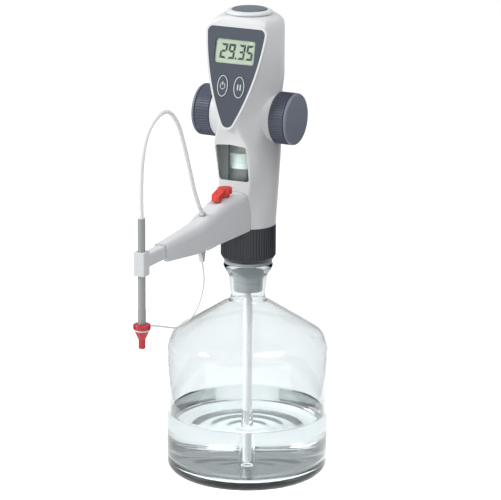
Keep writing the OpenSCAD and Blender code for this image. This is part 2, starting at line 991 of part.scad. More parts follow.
module hose_gland() {
    color(black_plastic)
        on_gland() {
            cylinder(h = 6.9, r = 2.2);
            translate([0, 0, 5]) cylinder(h = 1.9, r = 3);
        }
}

module arm_extension() {
    color(arm_grey)
        along_y(-195.4, -122)
            polygon(concat([[5, 243.8]], arc([3, 253], 2, 0, 90, 4), arc([-3, 253], 2, 90, 180, 4),
                [[-5, 243.8]]));
}

module tube_clamp() {
    color(arm_grey)
        difference() {
            intersection() {
                box(-5.3, 5.3, -reach - 5.1, -reach + 5.1, 236.8, 257.7);
                rod_z(236, 258, 6.9, 0, -reach);
            }
            rod_z(236, 258, 3.3 + run_gap, 0, -reach);
        }
}

module guide_tube() {
    color(tube_grey)
        difference() {
            union() {
                rod_z(187, 287, 3.3, 0, -reach);
                rod_z(193.6, 205, 3.5, 0, -reach);
            }
            rod_z(186, 288, 2.2, 0, -reach);
        }
}

module titrating_tip() {
    color("#e6eaea")
        difference() {
            union() {
                rod_z(190, 288, 2.2, 0, -reach);
                rod_z(287, 288, 2.8, 0, -reach);
                rod_z(177, 190, 1.3, 0, -reach);
            }
            rod_z(176, 289, 0.7, 0, -reach);
        }
}

module screw_cap() {
    color(cap_red)
        difference() {
            union() {
                rotate_extrude_at(-reach)
                    polygon([[0, 171.2], [2.6, 171.2], [2.95, 171.6], [2.95, 179], [3.4, 180], [6.5, 187],
                        [6.5, 188.8], [7.65, 189.2], [7.65, 192.4], [7.1, 193], [0, 193]]);
                box(-1, 1, -196, -190.6, 186, 188.2);
            }
            rod_z(187, 194, 3.3 + run_gap, 0, -reach);
            rod_z(175, 188, 1.6, 0, -reach);
        }
}

module upper_filling_tube() {
    color("#e8eeee")
        difference() {
            rod_z(100, 218.9, 3);
            rod_z(99, 220, 2.2);
        }
}

module lower_filling_tube() {
    color("#eef2f2")
        difference() {
            rod_z(12, 166, 4.2);
            rod_z(11, 167, 3 + run_gap);
            box(-5, 5, -1.5, 1.5, 11, 15);
        }
}

module hose_rise() {
    color("#f2f4f4") cord(hose_up, hose_r, hose_lean, 180);
}

module hose_fall() {
    color("#f2f4f4") cord(hose_down, hose_r, 180, 270);
}

module tether_upper() {
    color("#e4e6e6") cord(tether_a, tether_r, 270, 210);
}

module tether_middle() {
    color("#e4e6e6") cord(tether_b, tether_r, 210, 180);
}

module tether_lower() {
    color("#e4e6e6") cord(tether_c, tether_r, 180, 180);
}

reagent_bottle();
bottle_neck();
reagent();
bottle_adapter();
sealing_ring();
union_nut();
front_housing();
rear_housing();
battery_cover();
inspection_window();
control_panel();
display_lens();
lcd_module();
control_board();
panel_switches();
power_key();
pause_key();
top_ring();
clear_key();
clear_key_spring();
top_switch();
battery_holder();
battery_cells();
battery_contacts();
housing_screws();
left_handwheel();
right_handwheel();
wheel_caps();
drive_shaft();
shaft_bushes();
shaft_pinion();
reduction_gear();
rack_pinion();
gear_pin();
gear_frame();
glass_cylinder();
cylinder_retainer();
piston_rack();
piston();
piston_seal();
valve_block();
filling_valve();
discharge_valve();
valve_spindle();
valve_lever();
feed_line();
titrating_arm();
hose_gland();
arm_extension();
tube_clamp();
guide_tube();
titrating_tip();
screw_cap();
upper_filling_tube();
lower_filling_tube();
hose_rise();
hose_fall();
tether_upper();
tether_middle();
tether_lower();
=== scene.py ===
import json
import math

import bmesh
import bpy
from mathutils import Matrix, Vector


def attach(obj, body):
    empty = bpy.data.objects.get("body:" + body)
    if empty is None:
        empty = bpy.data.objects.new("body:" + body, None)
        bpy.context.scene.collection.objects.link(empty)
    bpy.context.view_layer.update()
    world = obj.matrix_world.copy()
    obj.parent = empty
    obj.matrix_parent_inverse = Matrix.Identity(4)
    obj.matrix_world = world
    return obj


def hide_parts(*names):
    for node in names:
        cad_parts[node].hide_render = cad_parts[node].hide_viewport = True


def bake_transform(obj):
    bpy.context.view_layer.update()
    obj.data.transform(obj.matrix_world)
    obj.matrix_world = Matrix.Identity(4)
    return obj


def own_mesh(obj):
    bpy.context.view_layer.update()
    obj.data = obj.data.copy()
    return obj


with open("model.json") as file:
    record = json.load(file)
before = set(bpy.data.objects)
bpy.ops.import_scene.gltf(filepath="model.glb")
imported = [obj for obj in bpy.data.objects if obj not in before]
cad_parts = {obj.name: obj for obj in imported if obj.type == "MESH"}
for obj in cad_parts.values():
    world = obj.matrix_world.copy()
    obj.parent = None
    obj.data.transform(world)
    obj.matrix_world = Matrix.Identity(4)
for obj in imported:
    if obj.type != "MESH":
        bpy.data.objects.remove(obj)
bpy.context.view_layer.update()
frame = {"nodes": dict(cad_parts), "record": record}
NODES = frame["nodes"]
BODY_OF = {n: b for b, names in frame["record"]["behaviour"]["bodies"].items() for n in names}
SLOT_OF = {s["node"]: s["material_slot"] for s in frame["record"]["subparts"]}
# sizes are written in millimetres
MM = 0.001


# ---------- camera ----------

def camera():
    """Long lens at the photograph's angle: 27 degrees round to the right, 15.3 degrees up."""
    azimuth, rise, roll = math.radians(27), math.radians(15.3), math.radians(0.35)
    distance, aim_x, aim_z = 2.565, 0.0021, 0.2109
    right = Vector((math.cos(azimuth), math.sin(azimuth), 0))
    up = Vector((-math.sin(azimuth) * math.sin(rise), math.cos(azimuth) * math.sin(rise), math.cos(rise)))
    back = right.cross(up)
    place = right * aim_x + Vector((0, 0, aim_z)) + back * distance
    side = right * math.cos(roll) + up * math.sin(roll)
    top = up * math.cos(roll) - right * math.sin(roll)
    data = bpy.data.cameras.new("photo_camera")
    data.sensor_width = 36
    data.sensor_fit = "HORIZONTAL"
    data.lens = 199.98
    data.clip_end = 50
    obj = bpy.data.objects.new("photo_camera", data)
    bpy.context.collection.objects.link(obj)
    obj.matrix_world = Matrix((
        (side.x, top.x, back.x, place.x),
        (side.y, top.y, back.y, place.y),
        (side.z, top.z, back.z, place.z),
        (0, 0, 0, 1)))
    bpy.context.scene.camera = obj


camera()


# ---------- materials ----------

def linear(code):
    """sRGB hex colour as linear red, green, blue and alpha."""
    parts = [int(code[i:i + 2], 16) / 255 for i in (1, 3, 5)]
    return tuple(c / 12.92 if c <= 0.04045 else ((c + 0.055) / 1.055) ** 2.4 for c in parts) + (1,)


def add(tree, kind, inputs=None, links=None, **settings):
    """A shader or geometry node with its settings, input values and links, both by input name or number."""
    node = tree.nodes.new(kind)
    for name, value in settings.items():
        setattr(node, name, value)
    for name, value in (inputs or {}).items():
        node.inputs[name].default_value = value
    for name, output in (links or {}).items():
        tree.links.new(output, node.inputs[name])
    return node


def empty_material(name):
    material = bpy.data.materials.new(name)
    material.use_nodes = True
    material.node_tree.nodes.clear()
    return material, material.node_tree


def moulded(name, colour, rough, grain=0.5, bump=0.1, metal=0.0, mottle=0.03, clear=0.0, ior=1.5, coat=0.0):
    """Surface with fine grain of a size in millimetres, a slight drift of colour and patches of rubbed roughness."""
    material, tree = empty_material(name)
    place = add(tree, "ShaderNodeTexCoord").outputs["Object"]
    drift = add(tree, "ShaderNodeTexNoise", {"Scale": 1 / (30 * MM), "Detail": 3.0}, {"Vector": place})
    base = linear(colour)
    tone = add(tree, "ShaderNodeMix", {6: tuple(c * (1 - mottle) for c in base[:3]) + (1,),
                                       7: tuple(min(1, c * (1 + mottle)) for c in base[:3]) + (1,)},
               {"Factor": drift.outputs["Fac"]}, data_type="RGBA")
    rub = add(tree, "ShaderNodeMapRange", {"To Min": rough * 0.88, "To Max": min(1, rough * 1.12)},
              {"Value": drift.outputs["Fac"]})
    fine = add(tree, "ShaderNodeTexNoise", {"Scale": 1 / (grain * MM), "Detail": 2.0}, {"Vector": place})
    relief = add(tree, "ShaderNodeBump", {"Strength": bump, "Distance": 0.05 * MM}, {"Height": fine.outputs["Fac"]})
    shader = add(tree, "ShaderNodeBsdfPrincipled",
                 {"IOR": ior, "Metallic": metal, "Transmission Weight": clear, "Coat Weight": coat},
                 {"Base Color": tone.outputs[2], "Roughness": rub.outputs["Result"],
                  "Normal": relief.outputs["Normal"]})
    add(tree, "ShaderNodeOutputMaterial", links={"Surface": shader.outputs["BSDF"]})
    return material


def clear_body(name, colour, rough, ior, ripple=0.1, shine=0.5, depth_tint=0.0):
    """Clear solid: light goes through with a faint tint, bent by a slightly wavy surface, and dims with depth."""
    material, tree = empty_material(name)
    place = add(tree, "ShaderNodeTexCoord").outputs["Object"]
    wave = add(tree, "ShaderNodeTexNoise", {"Scale": 1 / (25 * MM), "Detail": 1.0}, {"Vector": place})
    relief = add(tree, "ShaderNodeBump", {"Strength": ripple, "Distance": 0.3 * MM}, {"Height": wave.outputs["Fac"]})
    shader = add(tree, "ShaderNodeBsdfPrincipled",
                 {"Base Color": linear(colour), "Roughness": rough, "IOR": ior, "Transmission Weight": 1.0,
                  "Specular IOR Level": shine}, {"Normal": relief.outputs["Normal"]})
    ends = {"Surface": shader.outputs["BSDF"]}
    if depth_tint:
        dim = add(tree, "ShaderNodeVolumeAbsorption", {"Color": linear("#8b999b"), "Density": depth_tint})
        ends["Volume"] = dim.outputs["Volume"]
    add(tree, "ShaderNodeOutputMaterial", links=ends)
    return material


# Moulded ABS with a fine spark-eroded grain: soft, even highlights on the casing
CASING_ABS = moulded("moulded_abs_pale", "#dfe1e3", 0.38, 0.5, 0.12)
# The same plastic in the arm's grey: reads darker than the casing beside it
ARM_ABS = moulded("moulded_abs_grey", "#d8dbde", 0.42, 0.5, 0.12)
# Polyester film over the keys: even satin slate, calmer than the mouldings
PANEL_FILM = moulded("satin_panel_film", "#474e59", 0.38, 0.3, 0.05, mottle=0.02)
# Silk-screened pale line on the film
PALE_PRINT = moulded("pale_print", "#d3d8da", 0.5)
# Slightly waxy slate handwheels: a broad soft sheen along the ribs
WHEEL_PP = moulded("moulded_polypropylene_slate", "#505767", 0.4, 0.6, 0.15)
# Smoother and paler face of the handwheels
WHEEL_CAP_PP = moulded("smooth_polypropylene_slate", "#7a818f", 0.45, 0.6, 0.08)
# Near-black union nut whose ribs catch thin highlights
NUT_PP = moulded("moulded_polypropylene_dark", "#2f3238", 0.38, 0.6, 0.15)
# Blue-grey key on top: dull satin
TOP_KEY_ABS = moulded("satin_abs_blue_grey", "#5f6a74", 0.35, 0.5, 0.08)
# Glossy red lever: bright clear red with a sharp highlight
RED_PP = moulded("gloss_polypropylene_red", "#e2443c", 0.26, 0.8, 0.04, coat=0.2)
# Deeper red screw cap, as glossy
CAP_PP = moulded("gloss_polypropylene_deep_red", "#c8202c", 0.3, 0.8, 0.04, coat=0.2)
# Drawn grey guide tube with a soft streak of light along it
TUBE_PP = moulded("extruded_polypropylene_grey", "#a2a5a5", 0.36, 0.5, 0.08)
# Pale grey adapter seen through the ground neck
ADAPTER_PP = moulded("moulded_polypropylene_pale", "#a6adb0", 0.4, 0.5, 0.1)
# Milky fluoropolymer tubing: white body, light edges
HOSE_FEP = moulded("fluoropolymer_tubing", "#fafcfd", 0.22, 0.8, 0.03, clear=0.1, ior=1.35)
# Filling tube in the bottle: pale and cloudy
FILL_FEP = moulded("clear_fluoropolymer_tubing", "#fbfcfd", 0.16, 0.8, 0.03, clear=0.12, ior=1.35)
# Soft cord of the cap: dull off-white
TETHER_TPE = moulded("soft_elastomer_cord", "#e9ebeb", 0.55, 0.5, 0.1)
# Turned PTFE: matt white, brightest thing behind the window
WHITE_PTFE = moulded("turned_ptfe", "#f2f4f2", 0.4, 0.4, 0.05)
# Cool grey block and valves inside
VALVE_ETFE = moulded("moulded_etfe", "#c6cacb", 0.4, 0.4, 0.05)
# Black gasket, no shine
BLACK_RUBBER = moulded("black_rubber", "#232426", 0.6, 0.4, 0.15)
# Black holders and switches
BLACK_ABS = moulded("moulded_abs_black", "#2b2d30", 0.45, 0.5, 0.12)
# Bright shafts, screws, springs and contacts
STEEL = moulded("turned_stainless_steel", "#b9bcc0", 0.28, 0.2, 0.05, metal=1.0)
# Warm yellow bearings
BRASS = moulded("turned_brass", "#c9a45a", 0.3, 0.2, 0.05, metal=1.0)
# Satin metal frame of the gears
ANODISED = moulded("anodised_aluminium", "#9fa3a6", 0.4, 0.2, 0.05, metal=1.0)
# Cream gear plastic
GEAR_POM = moulded("moulded_acetal", "#e2dccb", 0.4, 0.4, 0.06)
# Circuit board under its green solder mask
BOARD_FR4 = moulded("solder_mask_green", "#2f6b48", 0.35, 0.6, 0.08)
# Plain metallic jacket of the cells
CELL_FOIL = moulded("printed_cell_jacket", "#b59a4a", 0.3, 0.4, 0.04, metal=0.6)
# Pale green-grey display behind its lens
LCD_GLASS = moulded("display_polariser", "#a2ac9f", 0.3, 0.4, 0.03, mottle=0.04)
# Dark green-grey figures of the display
LCD_INK = moulded("display_segment", "#27352f", 0.4)
# Blown soda glass, neutral, slightly wavy: greyer towards the edges, where the eye looks along the wall
BOTTLE_GLASS = clear_body("blown_glass", "#f3f6f7", 0.0, 1.47, 0.15, depth_tint=30)
# Drawn tube of the cylinder: long straight highlights behind the window
CYLINDER_GLASS = clear_body("drawn_borosilicate_tube", "#eef3f2", 0.01, 1.47, 0.02)
# The liquid: clear, its level shows as a thin line
WATER = clear_body("clear_reagent", "#f7fafa", 0.0, 1.33, 0.0)
# Clear window over the cylinder: a veil of reflections over the dark inside
SMOKED_PMMA = clear_body("smoked_acrylic", "#dde3e2", 0.04, 1.3, 0.02)
# Lens of the display: nearly unseen
LENS_PMMA = clear_body("clear_acrylic", "#f4f7f4", 0.02, 1.08, 0.02)

# finish of each material slot; the few nodes that differ from their slot come after it
SLOT_FINISH = {
    "clear_glass": BOTTLE_GLASS, "liquid": WATER, "adapter_grey": ADAPTER_PP, "seal_black": BLACK_RUBBER,
    "nut_grey": NUT_PP, "shell_white": CASING_ABS, "smoked_clear": SMOKED_PMMA, "panel_slate": PANEL_FILM,
    "clear_lens": LENS_PMMA, "display_green": LCD_GLASS, "board_green": BOARD_FR4, "black_plastic": BLACK_ABS,
    "key_slate": TOP_KEY_ABS, "steel": STEEL, "cell_jacket": CELL_FOIL, "wheel_slate": WHEEL_PP,
    "cap_slate": WHEEL_CAP_PP, "bush_brass": BRASS, "gear_cream": GEAR_POM, "frame_alu": ANODISED,
    "piston_white": WHITE_PTFE, "valve_grey": VALVE_ETFE, "lever_red": RED_PP, "hose_white": HOSE_FEP,
    "arm_grey": ARM_ABS, "tube_grey": TUBE_PP, "cap_red": CAP_PP, "tether_white": TETHER_TPE,
}
NODE_FINISH = {n: SLOT_FINISH[SLOT_OF[n]] for n in NODES}
NODE_FINISH.update({"glass_cylinder": CYLINDER_GLASS, "upper_filling_tube": FILL_FEP,
                    "lower_filling_tube": FILL_FEP, "titrating_tip": FILL_FEP, "hose_gland": TUBE_PP})
for name, node in NODES.items():
    node.data.materials.clear()
    node.data.materials.append(NODE_FINISH[name])


# ---------- shared shapes ----------

def piece(name, mesh, material, body, node=()):
    """A finished piece at the origin that rides on a body, and stands for CAD nodes where some are named."""
    nodes = [node] if isinstance(node, str) else list(node)
    mesh.materials.clear()
    mesh.materials.append(material)
    obj = bpy.data.objects.new(name, mesh)
    bpy.context.collection.objects.link(obj)
    if body:
        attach(obj, body)
    if nodes:
        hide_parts(*nodes)
    return obj


def mesh_of(name, verts, faces):
    """Mesh from points in millimetres, its doubles merged and its faces turned outwards."""
    mesh = bpy.data.meshes.new(name)
    mesh.from_pydata([tuple(Vector(v) * MM) for v in verts], [], faces)
    work = bmesh.new()
    work.from_mesh(mesh)
    bmesh.ops.remove_doubles(work, verts=work.verts, dist=0.001 * MM)
    bmesh.ops.recalc_face_normals(work, faces=work.faces)
    work.to_mesh(mesh)
    work.free()
    return mesh


def apply_modifiers(obj):
    """Gives the object the mesh that its modifiers make, and removes them."""
    shaped = bpy.data.meshes.new_from_object(obj.evaluated_get(bpy.context.evaluated_depsgraph_get()))
    obj.modifiers.clear()
    old, obj.data = obj.data, shaped
    bpy.data.meshes.remove(old)


def finished(obj, angle, radius=0.0):
    """Rounds the edges sharper than angle, and shades the rest smooth with flat faces kept flat."""
    if radius:
        bevel = obj.modifiers.new("edge_radius", "BEVEL")
        bevel.width = radius * MM
        bevel.segments = 2
        bevel.limit_method = "ANGLE"
        bevel.angle_limit = math.radians(angle)
        apply_modifiers(obj)
    obj.data.shade_smooth()
    obj.data.set_sharp_from_angle(angle=math.radians(angle))
    weigh = obj.modifiers.new("even_faces", "WEIGHTED_NORMAL")
    weigh.keep_sharp = True
    apply_modifiers(obj)
    return obj


def softened(node, radius=0.0, angle=32):
    """Copy of a node with its triangles merged, its edges rounded and smooth shading."""
    mesh = NODES[node].data.copy()
    work = bmesh.new()
    work.from_mesh(mesh)
    bmesh.ops.remove_doubles(work, verts=work.verts, dist=0.002 * MM)
    bmesh.ops.dissolve_limit(work, angle_limit=math.radians(0.6), verts=work.verts, edges=work.edges)
    work.to_mesh(mesh)
    work.free()
    return finished(piece(node + "_moulding", mesh, NODE_FINISH[node], BODY_OF[node], node), angle, radius)


def arc(centre, radius, start, end, steps):
    """Points on an arc between two angles in degrees."""
    turns = [math.radians(start + (end - start) * i / steps) for i in range(steps + 1)]
    return [(centre[0] + radius * math.cos(a), centre[1] + radius * math.sin(a)) for a in turns]


def with_mirror(half):
    return half + [(-x, y) for x, y in reversed(half)]


def rings_mesh(name, rings, closed=False):
    """Skin over rings of equal point count; open rows get end faces, closed rows run round to the first."""
    n, m = len(rings[0]), len(rings)
    verts = [p for ring in rings for p in ring]
    faces = []
    for j in range(m if closed else m - 1):
        a, b = j * n, (j + 1) % m * n
        faces += [(a + i, a + (i + 1) % n, b + (i + 1) % n, b + i) for i in range(n)]
    if not closed:
        faces += [tuple(range(n)), tuple(range((m - 1) * n, m * n))]
    return mesh_of(name, verts, faces)


def casts_no_shadow(obj):
    """Lets the lamps reach what stands behind clear glass, which a traced shadow would wrongly darken."""
    obj.visible_shadow = False
    return obj


def lathe(name, outline, segments=128):
    """Solid of revolution about Z from a closed outline of (radius, height)."""
    turns = [math.tau * k / segments for k in range(segments)]
    return rings_mesh(name, [[(r * math.cos(a), r * math.sin(a), h) for r, h in outline] for a in turns], True)


def curve_points(route, step):
    """Points along a smooth curve through (y, z) route points, about step apart."""
    pts = [Vector((0, y, z)) for y, z in route]
    ends = [pts[0] * 2 - pts[1]] + pts + [pts[-1] * 2 - pts[-2]]
    out = []
    for a, b, c, d in zip(ends, ends[1:], ends[2:], ends[3:]):
        n = max(1, round((c - b).length / step))
        for t in (i / n for i in range(n)):
            out.append(0.5 * ((2 * b) + (c - a) * t + (2 * a - 5 * b + 4 * c - d) * t * t
                              + (3 * b - a - 3 * c + d) * t * t * t))
    return out + [pts[-1]]


def tube_mesh(name, line, radius, first, last, sides=16):
    """Round tube in the plane X = 0 along points; first and last are its directions at the ends."""
    across = Vector((1, 0, 0))
    rings = []
    for i, p in enumerate(line):
        along = first if i == 0 else last if i == len(line) - 1 else line[i + 1] - line[i - 1]
        rise = across.cross(Vector(along).normalized())
        turns = [math.tau * k / sides for k in range(sides)]
        rings.append([p + across * radius * math.cos(a) + rise * radius * math.sin(a) for a in turns])
    return rings_mesh(name, rings)


# ---------- cords ----------

HOSE_UP = [(-90.3, 265.7), (-93.6, 270.7), (-98.4, 278), (-106, 292), (-114, 311.5), (-121, 328.5),
           (-128, 343.5), (-134, 354.5), (-141, 362.5), (-148.5, 368.5), (-155, 371.2), (-160, 371.9)]
HOSE_DOWN = [(-160, 371.9), (-166, 371.5), (-173, 369.5), (-180, 366.5), (-186, 362), (-191.5, 355.5),
             (-196, 346), (-199, 335), (-200.5, 322), (-201, 310), (-200.8, 299), (-200.5, 292), (-200.5, 288)]
TETHER_A = [(-90.6, 222), (-88.4, 214), (-87, 206), (-88, 198), (-92, 189.5), (-97.5, 182.8), (-103, 178.6)]
TETHER_B = [(-103, 178.6), (-109, 175.6), (-116, 173.8), (-124, 173), (-131, 172.9), (-137, 173)]
TETHER_C = [(-137, 173), (-144, 174.5), (-154, 177.8), (-164, 181), (-175, 184.6), (-184, 187), (-190.6, 187)]


def cord_piece(name, node, route, radius, first, last):
    """Free cord from one body to the next, along its route."""
    line = curve_points(route, 2.5)
    obj = piece(name, tube_mesh(name, line, radius, first, last), NODE_FINISH[node], None, node)
    obj.data.shade_smooth()
    obj.data.set_sharp_from_angle(angle=math.radians(50))
    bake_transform(obj)


UP_FROM_ARM, OUTWARDS, DOWN, SLANT = (0, -0.553, 0.833), (0, -1, 0), (0, 0, -1), (0, -0.866, -0.5)
HOSE_R, TETHER_R = 2.0, 0.8
cord_piece("titrating_hose_rise", "hose_rise", HOSE_UP, HOSE_R, UP_FROM_ARM, OUTWARDS)
cord_piece("titrating_hose_fall", "hose_fall", HOSE_DOWN, HOSE_R, OUTWARDS, DOWN)
cord_piece("cap_tether_upper", "tether_upper", TETHER_A, TETHER_R, DOWN, SLANT)
cord_piece("cap_tether_middle", "tether_middle", TETHER_B, TETHER_R, SLANT, OUTWARDS)
cord_piece("cap_tether_lower", "tether_lower", TETHER_C, TETHER_R, OUTWARDS, OUTWARDS)


# ---------- bottle ----------

BOTTLE_R, GLASS_T, WALL_TOP, RIM_Z = 75, 3, 118.7, 200
SHOULDER_R, SHOULDER_SLOPE = 18, 58


def base_line(lift):
    """Inside of the bottle's base from its edge to the middle, with the rings that blowing leaves in it."""
    return [(r, 8.4 + lift + 0.35 * math.cos(r * 0.27) * (r / 62)) for r in range(62, 4, -2)]



def push_up():
    """Underside of the base, raised towards the middle in faint rings."""
    return [(r, 0.9 + 2.6 * (1 - (r / 52) ** 2) + 0.2 * math.cos(r * 0.42)) for r in range(0, 53, 2)]


def bottle_outline():
    """Half section of the glass: foot, straight wall, sloped shoulder, ground neck and rolled rim."""
    inner = BOTTLE_R - GLASS_T
    centre = (BOTTLE_R - SHOULDER_R, WALL_TOP)
    return (push_up() + [(54, 0.4), (57, 0), (66, 0)]
            + arc((66, 9), 9, -80, 0, 14)
            + arc(centre, SHOULDER_R, 0, SHOULDER_SLOPE, 16)
            + [(20.2, 163), (18.8, 163.9), (17.6, 164.9), (16.7, 166.3), (16.2, 168), (16.3, 170), (18, 186.5),
               (18.6, 188.8), (19.5, 190.5), (20.7, 192.2), (22, 194)]
            + arc((20.4, 197.4), 2.6, -30, 90, 12)
            + [(14.6, RIM_Z), (13, RIM_Z - 32), (13.1, 166.2), (13.9, 164.2), (15.5, 162.6)]
            + arc(centre, SHOULDER_R - GLASS_T, SHOULDER_SLOPE, 0, 14)
            + arc((inner - 8, 15.7), 8, 0, -88, 14) + base_line(0) + [(0, 8.4)])


casts_no_shadow(finished(piece("blown_bottle", lathe("blown_bottle", bottle_outline(), 192), BOTTLE_GLASS, "bottle",
                               ("reagent_bottle", "bottle_neck")), 50))
LIQUID_Z, LIQUID_R = 58, BOTTLE_R - GLASS_T + 0.15
LIQUID_OUTLINE = (base_line(-0.2)[::-1] + arc((LIQUID_R - 8, 15.9), 7.7, -88, -5, 12)
                  + [(LIQUID_R, 18), (LIQUID_R, LIQUID_Z), (LIQUID_R - 1, LIQUID_Z - 0.6),
                     (LIQUID_R - 3, LIQUID_Z - 0.9), (4.6, LIQUID_Z - 0.9)])
casts_no_shadow(finished(piece("clear_liquid", lathe("clear_liquid", LIQUID_OUTLINE, 192), WATER, "bottle",
                               "reagent"), 50))


# ---------- casing ----------

CASING_Z, DECK_Z, WALL, SPLIT_Y = 237, 432, 2.2, 1
PANEL_FOOT = Vector((0, -44, 334))
PANEL_TILT = math.radians(12.5)
WHEEL_Z, SHAFT_Y, BUSH_R, BOSS_R = 339, 1, 6, 22.3


def panel_y(z):
    """Front of the casing at a height where it lies in the plane of the panel."""
    return PANEL_FOOT.y + (z - PANEL_FOOT.z) * math.tan(PANEL_TILT)


# the casing's plan by height, as in the CAD source:
# height, front half width, front y, front radius, rear centre x, rear centre y, rear radius
SECTIONS = [
    (237, 12, -25.2, 11, 0.1, 0, 25.2), (252, 13, -26, 9, 0.1, 0, 26.2), (260, 14.5, -26.4, 5, 0.1, 0, 26.7),
    (268, 15.5, -27, 3.4, 0.1, 0, 27.2), (282, 17.5, -28.5, 3, 0.1, 0, 28), (317, 17.8, -36.6, 3.2, 0.1, 0, 29.5),
    (327, 14.5, -40, 3.6, 1.5, 0.5, 28.2), (338, 11, panel_y(338), 4, 4, 1, 26),
    (357, 16.4, panel_y(357), 3.6, 6.6, 2, 23.2), (378, 22.6, panel_y(378), 3.6, 10, 4.5, 21),
    (400, 27, panel_y(400), 3.8, 10, 4.5, 21), (421, 28.6, panel_y(421), 4.2, 10, 4.5, 21),
    (426, 27.8, -24.1, 6, 9.5, 4.2, 20.8), (429.8, 25, -23.1, 9, 6.5, 3, 21), (432, 20, -21.9, 15, 2.5, 1.4, 21.6)]
FRONT_Y = 2


def straight(k, z):
    """Value k of the sections at height z, on straight lines from section to section."""
    z = min(max(z, CASING_Z), DECK_Z)
    i = max(j for j, s in enumerate(SECTIONS[:-1]) if s[0] <= z)
    low, high = SECTIONS[i], SECTIONS[i + 1]
    return low[k] + (high[k] - low[k]) * (z - low[0]) / (high[0] - low[0])


def slope(k, i):
    """Slope of value k at section i that gives a curve with no bulge between sections."""
    rise = [(b[k] - a[k]) / (b[0] - a[0]) for a, b in zip(SECTIONS, SECTIONS[1:])]
    if i in (0, len(rise)):
        return rise[min(i, len(rise) - 1)]
    before, after = rise[i - 1], rise[i]
    return 0.0 if before * after <= 0 else 2 * before * after / (before + after)


def eased(k, z):
    """Value k of the sections at height z on a smooth curve; the front keeps its planes and has narrow bends."""
    if k == FRONT_Y:
        return sum(straight(k, z + d) for d in (-2.5, -1.25, 0, 1.25, 2.5)) / 5
    i = max(j for j, s in enumerate(SECTIONS[:-1]) if s[0] <= z)
    low, high = SECTIONS[i], SECTIONS[i + 1]
    h = high[0] - low[0]
    t = (z - low[0]) / h
    return (low[k] * (1 + 2 * t) * (1 - t) ** 2 + high[k] * t * t * (3 - 2 * t)
            + h * (slope(k, i) * t * (1 - t) ** 2 - slope(k, i + 1) * t * t * (1 - t)))


def plan(z, inset):
    """Outline of the casing at one height, drawn in by inset."""
    half, front, corner, rear_x, rear_y, rear = (eased(k, z) for k in range(1, 7))
    f, r = Vector((half - corner, front + corner)), Vector((rear_x, rear_y))
    between = r - f
    tangent = math.degrees(math.atan2(between.y, between.x) - math.acos((corner - rear) / between.length))
    side = arc(f, corner - inset, -90, tangent, 8) + arc(r, rear - inset, tangent, 90, 24)
    return [(x, y, z) for x, y in with_mirror(side)]


def casing_body(inset, low, high, step=2.0):
    rows = round((high - low) / step)
    return rings_mesh("casing_body", [plan(low + (high - low) * i / rows, inset) for i in range(rows + 1)])


def on_panel(x, s, depth):
    """Point of the tilted panel plane: x across, s up along it, depth into the casing."""
    sine, cosine = math.sin(PANEL_TILT), math.cos(PANEL_TILT)
    return PANEL_FOOT + Vector((x, s * sine + depth * cosine, s * cosine - depth * sine))


def plate(outline, top, bottom):
    """Solid between two depths of the panel plane."""
    return rings_mesh("plate", [[on_panel(x, s, d) for x, s in outline] for d in (top, bottom)])


def shield(grow):
    """Outline of the panel: long side arcs down to a rounded tip, and two upper corners."""
    side_r, side_x, side_s, tip_r, corner_r, top = 227, -197.5, 106.4, 6, 5, 90.9
    tip_s = side_s - math.sqrt((side_r - tip_r) ** 2 - side_x ** 2)
    corner_s = top - corner_r
    corner_x = side_x + math.sqrt((side_r - corner_r) ** 2 - (corner_s - side_s) ** 2)
    low = math.degrees(math.atan2(tip_s - side_s, -side_x))
    high = math.degrees(math.atan2(corner_s - side_s, corner_x - side_x))
    return with_mirror(arc((0, tip_s), tip_r + grow, -90, low, 8)
                       + arc((side_x, side_s), side_r + grow, low, high, 27)
                       + arc((corner_x, corner_s), corner_r + grow, high, 90, 8))


def rounded_box(x, s, half_w, half_h, r):
    return (arc((x + half_w - r, s + half_h - r), r, 0, 90, 4) + arc((x - half_w + r, s + half_h - r), r, 90, 180, 4)
            + arc((x - half_w + r, s - half_h + r), r, 180, 270, 4)
            + arc((x + half_w - r, s - half_h + r), r, 270, 360, 4))


def window_outline():
    return with_mirror(arc((11.7, 285.9), 3.4, 270, 362, 8) + arc((12.7, 314.2), 2.8, 2, 85, 8) + [(0, 318.1)])


def block(x0, x1, y0, y1, z0, z1):
    return rings_mesh("block", [[(x0, y0, z), (x1, y0, z), (x1, y1, z), (x0, y1, z)] for z in (z0, z1)])


def rod(axis, start, end, radius, centre):
    """Round rod along X or Z, with centre the two other coordinates in order."""
    ring = arc(centre, radius, 0, 360, 64)[:-1]
    at = {"X": lambda h, p: (h, p[0], p[1]), "Z": lambda h, p: (p[0], p[1], h)}[axis]
    return rings_mesh("rod", [[at(h, p) for p in ring] for h in (start, end)])


def arm_passage():
    """Arch that the titrating arm passes through, with its gap all round."""
    rings = []
    for distance, crest in ((18, 272.4), (40, 272.2)):
        half, top, r = 12.9 - (distance - 30) * 0.0431 + 0.2, crest + 0.2, 7
        arch = with_mirror([(half, 230)] + arc((half - r, top - r), r, 0, 90, 12))
        rings.append([(x, -distance, z) for x, z in arch])
    return rings_mesh("arm_passage", rings)


def carve(obj, operation, meshes):
    """Cuts solids out of an object, or joins them to it."""
    tools = []
    for mesh in meshes:
        tool = bpy.data.objects.new("tool", mesh)
        bpy.context.collection.objects.link(tool)
        tools.append(tool)
        step = obj.modifiers.new("step", "BOOLEAN")
        step.operation, step.solver, step.object = operation, "EXACT", tool
    apply_modifiers(obj)
    for tool in tools:
        bpy.data.meshes.remove(tool.data)


def bosses(start):
    """Round seats of the handwheels on both sides, from a distance start to their outer face."""
    return [rod("X", sign * start, sign * 30, BOSS_R, (SHAFT_Y, WHEEL_Z)) for sign in (-1, 1)]


